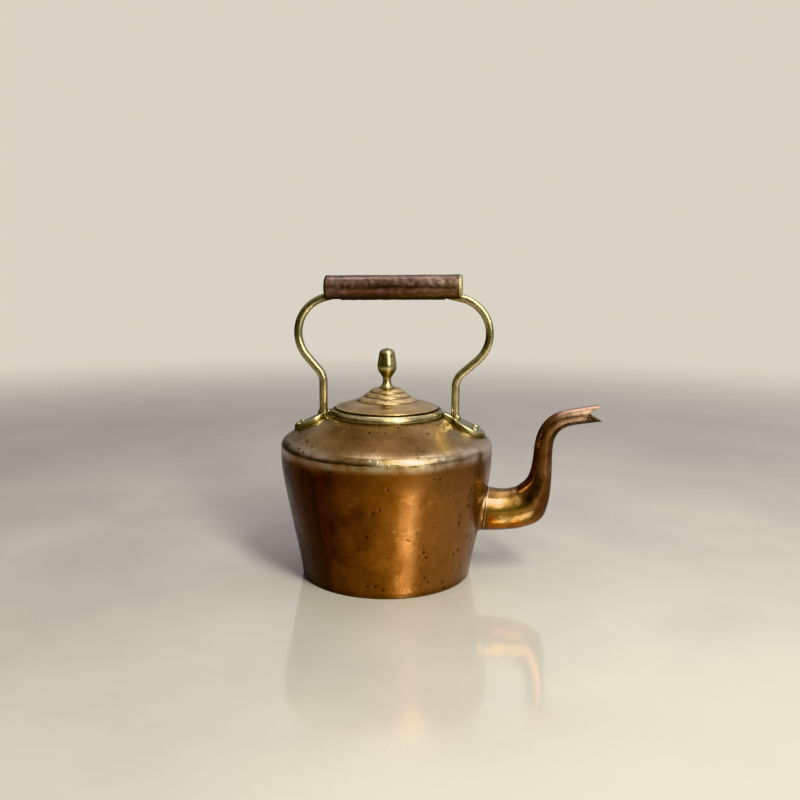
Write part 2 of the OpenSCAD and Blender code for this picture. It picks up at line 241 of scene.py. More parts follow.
class Nodes:
    """The nodes of one material, each method adding one step and giving its output."""

    def __init__(self, name):
        self.material = bpy.data.materials.new(name)
        self.material.use_nodes = True
        tree = self.material.node_tree
        tree.nodes.clear()
        self.nodes, self.links = tree.nodes, tree.links
        self.shader = self.nodes.new("ShaderNodeBsdfPrincipled")
        output = self.nodes.new("ShaderNodeOutputMaterial")
        self.links.new(self.shader.outputs[0], output.inputs["Surface"])
        self.place = self.nodes.new("ShaderNodeTexCoord").outputs["Object"]

    def feed(self, socket, value):
        if isinstance(value, bpy.types.NodeSocket):
            self.links.new(value, socket)
        else:
            socket.default_value = value

    def noise(self, scale, detail=4.0, rough=0.55, place=None, twist=0.0):
        node = self.nodes.new("ShaderNodeTexNoise")
        self.links.new(place or self.place, node.inputs["Vector"])
        for key, value in (("Scale", scale), ("Detail", detail), ("Roughness", rough), ("Distortion", twist)):
            node.inputs[key].default_value = value
        return node.outputs[0]

    def stretched(self, x, y, z):
        """The place with its axes scaled, for marks that run one way."""
        node = self.nodes.new("ShaderNodeMapping")
        self.links.new(self.place, node.inputs["Vector"])
        node.inputs["Scale"].default_value = (x, y, z)
        return node.outputs[0]

    def round_body(self, across, up):
        """Place on a turned surface: angle times across, height times up."""
        split = self.nodes.new("ShaderNodeSeparateXYZ")
        self.links.new(self.place, split.inputs[0])
        angle = self.math("ARCTAN2", split.outputs["Y"], split.outputs["X"])
        merge = self.nodes.new("ShaderNodeCombineXYZ")
        self.links.new(self.math("MULTIPLY", self.math("SINE", angle), across), merge.inputs["X"])
        self.links.new(self.math("MULTIPLY", self.math("COSINE", angle), across), merge.inputs["Y"])
        self.links.new(self.math("MULTIPLY", split.outputs["Z"], up), merge.inputs["Z"])
        return merge.outputs[0]

    def along(self, direction):
        """How far the place lies in a direction, in metres."""
        node = self.nodes.new("ShaderNodeVectorMath")
        node.operation = "DOT_PRODUCT"
        self.links.new(self.place, node.inputs[0])
        node.inputs[1].default_value = direction
        return node.outputs["Value"]

    def facing(self, direction):
        """How far this side of the kettle faces a level direction, from -1 to 1."""
        flat = self.nodes.new("ShaderNodeVectorMath")
        flat.operation = "MULTIPLY"
        self.links.new(self.place, flat.inputs[0])
        flat.inputs[1].default_value = (1, 1, 0)
        unit = self.nodes.new("ShaderNodeVectorMath")
        unit.operation = "NORMALIZE"
        self.links.new(flat.outputs[0], unit.inputs[0])
        node = self.nodes.new("ShaderNodeVectorMath")
        node.operation = "DOT_PRODUCT"
        self.links.new(unit.outputs[0], node.inputs[0])
        node.inputs[1].default_value = direction
        return node.outputs["Value"]

    def edges(self, low, high, share):
        """Share of painted shade where the skin turns away from the eye."""
        turned = self.nodes.new("ShaderNodeLayerWeight").outputs["Facing"]
        return self.between(turned, low, high, 0.0, share)

    def math(self, operation, a, b=0.0, clamp=False):
        node = self.nodes.new("ShaderNodeMath")
        node.operation, node.use_clamp = operation, clamp
        self.feed(node.inputs[0], a)
        self.feed(node.inputs[1], b)
        return node.outputs[0]

    def between(self, value, low, high, to_low=0.0, to_high=1.0):
        node = self.nodes.new("ShaderNodeMapRange")
        node.interpolation_type = "SMOOTHSTEP"
        self.feed(node.inputs["Value"], value)
        for key, number in (("From Min", low), ("From Max", high), ("To Min", to_low), ("To Max", to_high)):
            node.inputs[key].default_value = number
        return node.outputs[0]

    def ramp(self, value, *stops):
        node = self.nodes.new("ShaderNodeValToRGB")
        self.feed(node.inputs[0], value)
        elements = node.color_ramp.elements
        while len(elements) < len(stops):
            elements.new(0.5)
        for element, (position, colour) in zip(elements, stops):
            element.position = position
            element.color = colour if not isinstance(colour, str) else rgb(colour)
        return node.outputs[0]

    def mix(self, share, a, b, mode="MIX"):
        node = self.nodes.new("ShaderNodeMix")
        node.data_type, node.blend_type = "RGBA", mode
        self.feed(node.inputs[0], share)
        for socket, value in ((node.inputs[6], a), (node.inputs[7], b)):
            self.feed(socket, rgb(value) if isinstance(value, str) else value)
        return node.outputs[2]

    def attribute(self, name):
        node = self.nodes.new("ShaderNodeAttribute")
        node.attribute_name = name
        return node.outputs["Fac"]

    def spots(self, scale, radius, chance):
        """Round spots, radius in cells, in the share of the cells that chance gives."""
        node = self.nodes.new("ShaderNodeTexVoronoi")
        self.links.new(self.place, node.inputs["Vector"])
        node.inputs["Scale"].default_value = scale
        red = self.nodes.new("ShaderNodeSeparateColor")
        self.links.new(node.outputs["Color"], red.inputs[0])
        near = self.between(node.outputs["Distance"], radius, radius * 0.45)
        return self.math("MULTIPLY", near, self.math("LESS_THAN", red.outputs[0], chance))

    def hairlines(self, place, scale, width):
        """Thin crooked lines where a noise crosses its middle."""
        wave = self.noise(scale, 2.0, 0.5, place)
        off = self.math("ABSOLUTE", self.math("SUBTRACT", wave, 0.5))
        return self.between(off, width, 0.0)

    def bump(self, height, distance, strength=1.0, normal=None):
        node = self.nodes.new("ShaderNodeBump")
        node.inputs["Strength"].default_value = strength
        node.inputs["Distance"].default_value = distance
        self.links.new(height, node.inputs["Height"])
        if normal:
            self.links.new(normal, node.inputs["Normal"])
        return node.outputs[0]


def finish_metal(n, colour, grime_shade_tone, rough, grain, streaks, waves=0.35):
    """Grime and painted shade, roughness, bump and a thin old lacquer that all the metals share."""
    # The dark mark carries real dirt in seams and painted shade in gaps, grooves and undersides, both mixed towards the
    # dark tone here.
    grime_and_shade = n.math("MULTIPLY", n.attribute("grime"), n.between(n.noise(260, 5, 0.6), 0.3, 0.62, 0.62, 1.0))
    colour = n.mix(grime_and_shade, colour, grime_shade_tone)
    n.links.new(colour, n.shader.inputs["Base Color"])
    n.shader.inputs["Metallic"].default_value = 1.0
    clouds = n.noise(48, 5, 0.6)
    grainy = n.noise(1300, 3, 0.6)
    level = n.between(clouds, 0.32, 0.68, rough - 0.05, rough + 0.09)
    level = n.math("ADD", level, n.between(grainy, 0.35, 0.7, -0.02 * grain, 0.09 * grain))
    level = n.math("ADD", level, n.math("MULTIPLY", grime_and_shade, 0.28))
    level = n.math("SUBTRACT", level, n.math("MULTIPLY", n.attribute("rub"), 0.07))
    level = n.math("ADD", level, n.math("MULTIPLY", streaks, 0.06))
    n.links.new(level, n.shader.inputs["Roughness"])
    n.shader.inputs["Coat Weight"].default_value = 0.15
    n.shader.inputs["Coat Roughness"].default_value = 0.3
    tilt = n.bump(n.noise(95, 4, 0.5), 0.0006, waves)
    tilt = n.bump(grainy, 0.00012, grain, tilt)
    tilt = n.bump(n.math("MULTIPLY", streaks, -1.0), 0.00005, grain, tilt)
    return tilt


def body_copper():
    """Aged copper of the wall, shoulder, base and flange, with painted shade, reflections and highlights."""
    n = Nodes("body_copper")
    clouds = n.noise(13, 7, 0.62, twist=0.4)
    colour = n.ramp(clouds, (0.30, "#522b18"), (0.45, "#724525"), (0.56, "#85532e"), (0.72, "#9a6a42"))
    runs = n.noise(1.0, 5, 0.6, n.round_body(16, 7))
    colour = n.mix(n.between(runs, 0.42, 0.66, 0.0, 0.5), colour, "#7b4520")
    mottle = n.noise(105, 6, 0.68)
    colour = n.mix(n.between(mottle, 0.42, 0.66, 0.0, 0.35), colour, "#a67446")
    # painted shade: a darker band on the wall just under the rounded edge
    painted_shade_band = n.math("MULTIPLY", n.between(n.along((0, 0, 1)), 0.094, 0.110), n.between(n.along((0, 0, 1)), 0.125, 0.119))
    colour = n.mix(n.math("MULTIPLY", painted_shade_band, 0.55), colour, "#57331a")
    height = n.along((0, 0, 1))
    wander = n.math("ADD", height, n.between(n.noise(30, 4), 0.3, 0.7, -0.006, 0.006))
    # The shoulder's duller grey-tan is partly its own tone and partly a painted reflection of a pale ceiling; its front
    # towards -Y is painted darker as shade.
    dull = n.ramp(n.noise(26, 6, 0.65), (0.32, "#6f5a3f"), (0.52, "#8b7250"), (0.70, "#a88e68"))
    front = n.between(n.facing((0.1, -0.99, 0)), 0.72, 0.99, 0.0, 0.75)
    dull = n.mix(front, dull, "#6b5236")
    colour = n.mix(n.between(wander, 0.124, 0.135, 0.0, 0.88), colour, dull)
    # painted shade: the wall below the edge darkened to deep maroon on its left-front side, standing for a dark room
    # mirrored there
    side = n.math("ADD", n.facing((-0.87, -0.50, 0)), n.between(n.noise(22, 5), 0.3, 0.7, -0.14, 0.14))
    lower = n.between(wander, 0.130, 0.112)
    # painted reflection: the right side of the wall below the edge turned paler and greyer, as a mirrored pale wall
    right = n.between(n.facing((0.95, -0.31, 0)), 0.45, 0.95, 0.0, 0.45)
    colour = n.mix(n.math("MULTIPLY", right, lower), colour, "#8f7058")
    shade = n.math("MULTIPLY", n.between(side, 0.34, 0.92, 0.0, 0.96), lower)
    colour = n.mix(shade, colour, n.ramp(runs, (0.40, "#240904"), (0.62, "#3a1308")))
    # rubbed wear and a painted highlight on the rounded edge: pale lilac at the sides and yellower at the front
    rub = n.math("MULTIPLY", n.attribute("rub"), n.between(n.noise(42, 5, 0.6), 0.36, 0.62, 0.25, 1.0))
    worn = n.ramp(n.noise(60, 4), (0.4, "#cbbcb0"), (0.62, "#baa596"))
    worn = n.mix(front, worn, n.ramp(n.noise(60, 4), (0.4, "#d0bb98"), (0.62, "#bea274")))
    colour = n.mix(rub, colour, worn)
    clusters = n.between(n.noise(21, 3), 0.46, 0.54)
    pits = n.math("MULTIPLY", n.spots(135, 0.28, 0.5), clusters)
    specks = n.math("MULTIPLY", n.spots(340, 0.28, 0.3), n.between(n.noise(34, 4), 0.50, 0.62))
    marks = n.math("MAXIMUM", pits, n.math("MULTIPLY", specks, 0.6))
    colour = n.mix(n.math("MULTIPLY", marks, 0.82), colour, "#2a1207")
    streaks = n.math("MAXIMUM", n.hairlines(n.stretched(1, 1, 14), 22, 0.010),
                     n.hairlines(n.stretched(9, 9, 1), 26, 0.008))
    tilt = finish_metal(n, colour, "#1d0f08", 0.25, 0.45, streaks)
    n.links.new(n.bump(n.math("MULTIPLY", marks, -1.0), 0.0005, 0.8, tilt), n.shader.inputs["Normal"])
    return n.material


def lid_copper():
    """Duller copper of the lid, worn paler on its rings and painted paler there as a highlight."""
    n = Nodes("lid_copper")
    colour = n.ramp(n.noise(30, 6, 0.62), (0.32, "#8f7450"), (0.5, "#a98d66"), (0.70, "#c0a67e"))
    colour = n.mix(n.between(n.noise(140, 5, 0.65), 0.45, 0.68, 0.0, 0.4), colour, "#826443")
    # wear and a painted highlight on the ring crowns and the rim
    colour = n.mix(n.math("MULTIPLY", n.attribute("rub"), 0.7), colour, "#d0b487")
    specks = n.math("MULTIPLY", n.spots(300, 0.25, 0.3), n.between(n.noise(40, 3), 0.5, 0.62))
    colour = n.mix(n.math("MULTIPLY", specks, 0.7), colour, "#3a2412")
    streaks = n.hairlines(n.round_body(2.5, 900), 1.0, 0.02)
    tilt = finish_metal(n, colour, "#24170b", 0.28, 0.35, streaks, 0.15)
    n.links.new(tilt, n.shader.inputs["Normal"])
    return n.material


def spout_copper():
    """Chocolate-brown copper of the spout, redder and brighter near its root, with painted reflections, highlights and
    shade.
    """
    n = Nodes("spout_copper")
    brown = n.ramp(n.noise(34, 6, 0.62), (0.32, "#4f3426"), (0.5, "#6e4d3b"), (0.70, "#8c6a56"))
    # gold and orange are a painted reflection: the root is orange below a level line and golden above it, like a
    # mirrored horizon
    gold = n.ramp(n.noise(30, 6, 0.62), (0.32, "#6c4f30"), (0.5, "#87663f"), (0.70, "#9f7d50"))
    orange = n.ramp(n.noise(30, 6, 0.62), (0.32, "#8a4a1e"), (0.5, "#a8652f"), (0.70, "#bd8146"))
    height = n.math("ADD", n.along((0, 0, 1)), n.between(n.noise(30, 4), 0.3, 0.7, -0.008, 0.008))
    colour = n.mix(n.between(height, 0.056, 0.064), orange, gold)
    away = n.math("ADD", n.along((0.8, 0, 0.6)), n.between(n.noise(30, 4), 0.3, 0.7, -0.008, 0.008))
    colour = n.mix(n.between(away, 0.138, 0.168), colour, brown)
    tip = n.math("ADD", n.along((1, 0, 0)), n.between(n.noise(45, 4), 0.3, 0.7, -0.006, 0.006))
    # painted highlight: pale pink towards the tip
    colour = n.mix(n.between(tip, 0.160, 0.184, 0.0, 0.8), colour, "#bd9a88")
    colour = n.mix(n.between(n.noise(110, 4, 0.6), 0.48, 0.7, 0.0, 0.35), colour, "#3f281e")
    # painted shade where the skin turns away from the eye
    colour = n.mix(n.edges(0.35, 0.85, 0.6), colour, "#2c1a10")
    specks = n.math("MULTIPLY", n.spots(330, 0.26, 0.3), n.between(n.noise(50, 3), 0.5, 0.62))
    colour = n.mix(n.math("MULTIPLY", specks, 0.7), colour, "#22110a")
    streaks = n.hairlines(n.stretched(1, 5, 1), 60, 0.014)
    tilt = finish_metal(n, colour, "#150e0a", 0.19, 0.10, streaks, 0.06)
    n.links.new(tilt, n.shader.inputs["Normal"])
    return n.material


def grip_copper():
    """Dark handled copper of the grip, blotched with pink where hands rub it and where a painted highlight runs along
    its upper side.
    """
    n = Nodes("grip_copper")
    colour = n.ramp(n.noise(40, 6, 0.66), (0.34, "#594640"), (0.5, "#766059"), (0.68, "#8e776f"))
    blotch = n.math("MULTIPLY", n.between(n.noise(75, 5, 0.6, twist=0.6), 0.46, 0.72, 0.0, 0.6), n.attribute("rub"))
    colour = n.mix(blotch, colour, "#a78b82")
    # painted shade where the skin turns away from the eye
    colour = n.mix(n.edges(0.25, 0.70, 0.75), colour, "#2b1d18")
    specks = n.math("MULTIPLY", n.spots(300, 0.3, 0.35), n.between(n.noise(60, 3), 0.48, 0.6))
    colour = n.mix(n.math("MULTIPLY", specks, 0.7), colour, "#1f120d")
    streaks = n.hairlines(n.stretched(1, 6, 6), 40, 0.014)
    tilt = finish_metal(n, colour, "#150d0a", 0.35, 0.3, streaks, 0.15)
    n.links.new(tilt, n.shader.inputs["Normal"])
    return n.material


def aged_brass():
    """Brass with an olive tarnish, with painted shade in its corners and where its skin turns away from the eye."""
    n = Nodes("aged_brass")
    colour = n.ramp(n.noise(38, 6, 0.62), (0.32, "#968868"), (0.5, "#b3a381"), (0.70, "#c9b999"))
    colour = n.mix(n.between(n.noise(90, 4, 0.6), 0.46, 0.70, 0.0, 0.30), colour, "#776d50")
    # wear and a painted highlight on the rubbed parts
    colour = n.mix(n.math("MULTIPLY", n.attribute("rub"), 0.6), colour, "#d2c8a0")
    # painted shade where the skin turns away from the eye
    colour = n.mix(n.edges(0.20, 0.75, 0.62), colour, "#453a26")
    specks = n.math("MULTIPLY", n.spots(420, 0.28, 0.25), n.between(n.noise(70, 3), 0.5, 0.62))
    colour = n.mix(n.math("MULTIPLY", specks, 0.5), colour, "#2f260f")
    streaks = n.hairlines(n.stretched(3, 3, 1), 90, 0.012)
    tilt = finish_metal(n, colour, "#2a2315", 0.27, 0.02, streaks, 0.03)
    n.links.new(tilt, n.shader.inputs["Normal"])
    return n.material


def tinned_copper(name, tone_dark, tone_mid, tone_light):
    """Grey tin wiped over copper, with the copper showing through in places."""
    n = Nodes(name)
    colour = n.ramp(n.noise(36, 7, 0.66), (0.32, tone_dark), (0.5, tone_mid), (0.70, tone_light))
    worn = n.between(n.noise(55, 5, 0.65, twist=0.5), 0.58, 0.68, 0.0, 0.7)
    colour = n.mix(worn, colour, "#8a5c3a")
    streaks = n.hairlines(n.round_body(4, 300), 1.0, 0.016)
    tilt = finish_metal(n, colour, "#2a2119", 0.38, 0.8, streaks)
    n.links.new(tilt, n.shader.inputs["Normal"])
    return n.material


BODY, LID, SPOUT_SKIN, GRIP, BRASS = body_copper(), lid_copper(), spout_copper(), grip_copper(), aged_brass()
TIN = tinned_copper("tinned_inside", "#5f5a52", "#8b857a", "#aaa498")
CAP_TIN = tinned_copper("tinned_cap", "#9c8c6a", "#c2b08a", "#d8cba8")


# ------------------------------------------------------------------ shape of the skin
DINGS = (                                # angle, height, radius and depth of the larger dents
    (-104, 118, 15, 0.45), (-122, 96, 11, 0.30), (-78, 34, 13, 0.35), (-60, 58, 10, 0.25),
    (-30, 90, 12, 0.35), (40, 70, 14, 0.45), (85, 100, 16, 0.50), (130, 52, 12, 0.40), (175, 88, 15, 0.45))


def ding_depth(p):
    angle, total = degrees(atan2(p.y, p.x)), 0.0
    for at, height, radius, depth in DINGS:
        turn = radians((angle - at + 180) % 360 - 180)
        away = hypot(turn * hypot(p.x, p.y), p.z - height) / radius
        if away < 1:
            total += depth * (1 - away * away) ** 2
    return total


def spout_distance(p):
    """Distance of a point from the line through the spout's root."""
    axis = Vector((cos(ROOT_TILT), 0, sin(ROOT_TILT)))
    way = p - ROOT
    return (way - axis * way.dot(axis)).length if p.x > 0 else 999.0


def foot_distance(p):
    """Distance of a point of the shoulder from the outline of the nearest foot, seen from above."""
    away = abs(p.x) - (PAD_FRONT if p.x > 0 else PAD_REAR)
    pad = hypot(away, p.y) - FOOT_R
    neck = hypot(max(0.0, away), max(0.0, abs(p.y) - FOOT_NECK))
    return max(0.0, min(pad, neck))


def skin_direction(p):
    """Direction square to the body's outer face at a point near it."""
    r = hypot(p.x, p.y)
    if p.z < BELLY_Z - SWEEP_R * sin(LEAN):
        rise = -LEAN
    elif p.z < BELLY_Z + SWEEP_R * sin(TURN):
        rise = atan2(p.z - BELLY_Z, r - SWEEP_X)
    else:
        rise = min(NORMAL, max(TURN, atan2(p.z - CREASE_Z, r - CREASE_X)))
    return Vector((p.x / r * cos(rise), p.y / r * cos(rise), sin(rise)))


def body_push(p, normal):
    """How far hammering and use have pushed the body's skin in, faded out where pieces sit."""
    r = hypot(p.x, p.y)
    if normal.dot(skin_direction(p)) < 0.3 or (r < 57 and p.z > 140):
        return 0.0
    broad = 0.5 + 0.5 * noise.noise(p / 58)
    small = 0.5 + 0.5 * noise.noise(p / 17 + Vector((9, 2, 5)))
    foot = smoothstep(0.5, 8, foot_distance(p)) if p.z > 132 else 1.0
    fade = foot * smoothstep(4, 12, p.z) * smoothstep(25, 36, spout_distance(p)) * smoothstep(57, 65, r)
    return skin_direction(p) * (fade * (0.45 * broad + 0.10 * small + ding_depth(p)))


def wall_side(depth, steps):
    arc_start = BELLY_Z - (SWEEP_R - depth) * sin(LEAN)
    straight = line((wall_x(BASE_EDGE, depth), BASE_EDGE), (wall_x(arc_start, depth), arc_start), steps)
    return joined(straight, arc(SWEEP_X, BELLY_Z, SWEEP_R - depth, -LEAN, SPLIT, max(8, steps // 2)))


def shoulder_side(depth, inner_x, steps):
    return joined(
        arc(SWEEP_X, BELLY_Z, SWEEP_R - depth, SPLIT, TURN, 5),
        arc(CREASE_X, CREASE_Z, CREASE_R - depth, TURN, NORMAL, steps),
        line((CREASE_X + (CREASE_R - depth) * cos(NORMAL), CREASE_Z + (CREASE_R - depth) * sin(NORMAL)),
             (inner_x, shoulder_z(inner_x, depth)), steps))


def inside_face(centre, normal):
    """1 for faces that look into the kettle, which are tinned."""
    r = hypot(centre.x, centre.y)
    inward = (normal.x * centre.x + normal.y * centre.y) < -0.2 * r
    under = normal.z < -0.5 and centre.z > BASE_EDGE + 2
    return 1 if inward or under else 0


def grime_body(p):
    """Dirt and painted shade along the base seam, round the spout, under the collar and round the feet."""
    r = hypot(p.x, p.y)
    seam = 0.55 * smoothstep(7, 3, p.z)
    root = 0.75 * smoothstep(33, 24, spout_distance(p))
    collar = 0.9 * smoothstep(COLLAR_R + 3.2, COLLAR_R + 0.2, r) if p.z > 140 else 0.0
    foot = 0.75 * smoothstep(3.5, 0.3, foot_distance(p)) if p.z > 132 and abs(p.x) > 50 else 0.0
    return max(seam, root, collar, foot)


def rub_body(p):
    """Wear and a painted highlight on the rounded edge between wall and shoulder."""
    return 0.9 * smoothstep(118, 127, p.z) * smoothstep(139, 131, p.z)


def make_base():
    edge = wall_x(BASE_EDGE)
    outline = joined(
        line((0, 0), (edge - 2.2, 0), 14), arc(edge - 2.2, 2, 2, -pi / 2, 0, 8),
        [(edge, BASE_EDGE), (wall_x(BASE_EDGE, SHEET), BASE_EDGE)],
        arc(edge - SHEET - 1.2, SHEET + 1.2, 1, 0, -pi / 2, 5), line((edge - 4, SHEET + 0.2), (0, SHEET + 0.2), 12))
    points, faces = lathe(outline, 240)

    def grime_base(p):
        return 0.35 + 0.4 * smoothstep(1.2, 0.0, p.z) + 0.3 * smoothstep(1.5, 3.0, p.z)

    def push(p, normal):
        r = hypot(p.x, p.y)
        return -0.5 * smoothstep(70, 10, r) * (0.5 + 0.5 * noise.noise(p / 30)) if normal.z < -0.5 else 0.0

    def pick(centre, normal):
        return 1 if normal.z > 0.3 and centre.z > 1 and hypot(centre.x, centre.y) < edge - 2 else 0

    make_piece("base_plate_skin", points, faces, [BODY, TIN], "kettle", ["base_plate"],
               pick=pick, marks=[grime_base], push=lambda p, n: -push(p, n))


def make_wall():
    outline = joined(wall_side(0, 56), wall_side(SHEET, 24)[::-1])
    points, faces = lathe(outline, 288)
    place = Matrix.Translation(ROOT) @ Matrix.Rotation(pi / 2 - ROOT_TILT, 4, "Y")
    hole, hole_faces = lathe([(0, -30), (ROOT_R - SHEET, -30), (ROOT_R - SHEET, 30), (0, 30)], 72)
    hole = moved(hole, place)
    make_piece("body_wall_skin", points, faces, [BODY, TIN], "kettle", ["body_wall"],
               push=body_push, pick=inside_face, marks=[grime_body, rub_body],
               cutters=[merged(hole, hole_faces)])


def merged(points, faces):
    """The same solid with its doubled points joined, as the boolean cut needs."""
    mesh = bpy.data.meshes.new("merge")
    mesh.from_pydata([tuple(p) for p in points], [], faces)
    bm = bmesh.new()
    bm.from_mesh(mesh)
    bmesh.ops.remove_doubles(bm, verts=bm.verts, dist=1e-3)
    bm.verts.index_update()
    result = [v.co.copy() for v in bm.verts], [[v.index for v in f.verts] for f in bm.faces]
    bm.free()
    bpy.data.meshes.remove(mesh)
    return result


def make_shoulder():
    outline = joined(shoulder_side(0, NECK_R + 0.05, 30), shoulder_side(SHEET, NECK_R + 0.05, 12)[::-1])
    points, faces = lathe(outline, 288)
    make_piece("shoulder_skin", points, faces, [BODY, TIN], "kettle", ["shoulder"],
               push=body_push, pick=inside_face, marks=[grime_body, rub_body])


def make_collar():
    round_x, round_z = MOUTH_R + 4.4, shoulder_z(COLLAR_R) + 1.3
    top = [(round_x + (COLLAR_R - round_x) * cos(a), round_z + (SEAT_Z - round_z) * sin(a))
           for a in np.linspace(0, pi / 2, 25)]
    outline = joined(
        line((MOUTH_R, SEAT_Z - 13), (NECK_R, SEAT_Z - 13), 1),
        line((NECK_R, SEAT_Z - 13), (NECK_R, shoulder_z(NECK_R)), 8),
        line((NECK_R, shoulder_z(NECK_R)), (COLLAR_R - 0.4, shoulder_z(COLLAR_R)), 3),
        line((COLLAR_R, shoulder_z(COLLAR_R) + 0.35), (COLLAR_R, round_z), 2), top,
        line((round_x, SEAT_Z), (MOUTH_R + 0.4, SEAT_Z), 3), [(MOUTH_R, SEAT_Z - 0.4)],
        line((MOUTH_R, SEAT_Z - 0.4), (MOUTH_R, SEAT_Z - 13), 8))
    points, faces = lathe(outline, 240)

    def grime_collar(p):
        r = hypot(p.x, p.y)
        # dirt and painted shadow under the collar's foot, a painted shadow line in the gap under the lid's rim, and the
        # mouth's inner edge painted darker
        foot = 0.9 * smoothstep(shoulder_z(COLLAR_R) + 1.2, shoulder_z(COLLAR_R), p.z)
        seat = smoothstep(52.2, 51.4, r) * smoothstep(SEAT_Z - 1.0, SEAT_Z - 0.5, p.z)
        return max(foot, seat, 0.5 if r < MOUTH_R + 0.6 else 0)

    def rub_collar(p):
        # wear and a painted highlight on the collar's rounded top
        return smoothstep(SEAT_Z - 3.2, SEAT_Z - 1.2, p.z) * smoothstep(51.6, 52.8, hypot(p.x, p.y))

    make_piece("mouth_collar_skin", points, faces, [BRASS], "kettle", ["mouth_collar"],
               marks=[grime_collar, rub_collar])


# ------------------------------------------------------------------ spout
def make_flange():
    """Concave ring from the wall to the spout, with the brazed lip that holds the spout."""
    place = Matrix.Translation(ROOT) @ Matrix.Rotation(pi / 2 - ROOT_TILT, 4, "Y")
    columns, rows, lip = 120, 14, 0.35
    rings = []
    for j in range(columns):
        angle = 2 * pi * j / columns

        def on_curve(a, angle=angle):
            r = ROOT_R + FLARE_R * (1 - cos(a))
            return place @ Vector((r * cos(angle), r * sin(angle), -FLARE_R * sin(a)))

        low, high = 0.0, pi / 2
        for _ in range(24):
            mid = (low + high) / 2
            p = on_curve(mid)
            low, high = (mid, high) if hypot(p.x, p.y) > body_x(p.z) - 0.5 else (low, mid)
        lips = [(ROOT_R - SHEET, -2.0), (ROOT_R - SHEET, 0.5), (ROOT_R, 0.6),
                (ROOT_R + lip * 0.8, 0.35), (ROOT_R + lip, -0.2), (ROOT_R + lip * 0.6, -0.9)]
        column = [place @ Vector((r * cos(angle), r * sin(angle), h)) for r, h in lips]
        column += [on_curve(a) for a in np.linspace(min(high, 0.16), high, rows)]
        inner = on_curve(high)
        column.append(inner - Vector((1.0, 0, 0)))
        column.append(place @ Vector(((ROOT_R - SHEET) * cos(angle), (ROOT_R - SHEET) * sin(angle), -8.0)))
        rings.append(column)
    depth = len(rings[0])
    points = [rings[j][i] for i in range(depth) for j in range(columns)]

    def grime_flange(p):
        # dirt and painted shade at the seam round the spout and where the flange meets the wall
        seam = smoothstep(1.6, 0.2, abs((p - ROOT).dot(Vector((cos(ROOT_TILT), 0, sin(ROOT_TILT)))) + 1.1))
        edge = smoothstep(1.6, 0.0, hypot(p.x, p.y) - body_x(p.z))
        return max(0.65 * seam, 0.55 * edge)

    def rub_flange(p):
        # wear and a painted highlight on the brazed lip
        return smoothstep(-0.9, 0.0, (p - ROOT).dot(Vector((cos(ROOT_TILT), 0, sin(ROOT_TILT)))))

    make_piece("spout_flange_skin", points, grid_faces(depth, columns, close_rows=True), [BODY], "kettle",
               ["spout_flange"], marks=[grime_flange, rub_flange])


def tube_point(station, angle, wall):
    """A point of the spout's skin at a station, wall mm in from its outer face."""
    x, z, direction, high, wide = station
    flats = 0.018 * (1 - cos(6 * angle)) * smoothstep(80, 100, z) * smoothstep(186, 172, x)
    up = (high - wall) * (1 - flats) * cos(angle)
    across = (wide - wall) * (1 - flats) * sin(angle)
    d = radians(direction)
    return Vector((x - up * sin(d), across, z + up * cos(d)))


def in_notch(p):
    way = p.x - NOTCH[0]
    return way > 0 and NOTCH_FALL * way < p.z - NOTCH[1] < NOTCH_RISE * way


def make_spout():
    columns, steps, tip_rings = 72, 10, 26
    path = catmull(SPOUT, steps)
    tip_start = len(path) - 1 - steps
    tip = path[tip_start:]

    def tip_station(share):
        at = share * (len(tip) - 1)
        i = min(int(at), len(tip) - 2)
        return tip[i] + (tip[i + 1] - tip[i]) * (at - i)

    def skin(wall):
        """Rows of points from the root to the lips."""
        angles = [2 * pi * j / columns for j in range(columns)]
        rows = [[tube_point(s, a, wall) for a in angles] for s in path[:tip_start]]
        ends = []
        for a in angles:
            shares = np.linspace(0, 1, 120)
            inside = [s for s in shares if in_notch(tube_point(tip_station(s), a, wall))]
            low, high = (max(0.0, inside[0] - shares[1]), inside[0]) if inside else (1.0, 1.0)
            for _ in range(12):
                mid = (low + high) / 2
                low, high = (low, mid) if in_notch(tube_point(tip_station(mid), a, wall)) else (mid, high)
            ends.append(high)
        for i in range(tip_rings + 1):
            rows.append([tube_point(tip_station(i / tip_rings * end), a, wall) for a, end in zip(angles, ends)])
        return rows

    rows = skin(0.0) + skin(SHEET)[::-1]
    points = [p for row in rows for p in row]

    def push(p, normal):
        shallow = 0.10 if p.x < 185 else 0.03
        return shallow * (0.5 + 0.5 * noise.noise(p / 13)) + shallow * 0.6 * (0.5 + 0.5 * noise.noise(p / 5))

    def grime_spout(p):
        # dirt round the root; painted shade on the underside of the neck and on the lower lip near the tip
        root = 0.8 * smoothstep(101.5, 98, p.x)
        lips = smoothstep(184, 192, p.x) * smoothstep(161.4, 160.0, p.z)
        under = 0.95 * smoothstep(126, 144, p.z) * smoothstep(-1.0, -4.5, spout_side(p))
        return max(root, lips, under)

    make_piece("spout_skin", points, grid_faces(len(rows), columns, close_rows=True), [SPOUT_SKIN], "kettle",
               ["spout"], marks=[grime_spout],
               push=lambda p, n: push(p, n) if n.dot(p - spine(p)) > 0 else 0.0)


def spout_side(p):
    """How far a point lies from the spout's middle line, towards its upper side."""
    nearest, side = 999.0, 0.0
    for a, b in zip(SPOUT, SPOUT[1:]):
        dx, dz = b[0] - a[0], b[1] - a[1]
        length = hypot(dx, dz)
        x, z = p.x - a[0], p.z - a[1]
        t = min(1.0, max(0.0, (x * dx + z * dz) / length ** 2))
        gap = hypot(x - t * dx, z - t * dz)
        if gap < nearest:
            nearest, side = gap, (z * dx - x * dz) / length
    return side


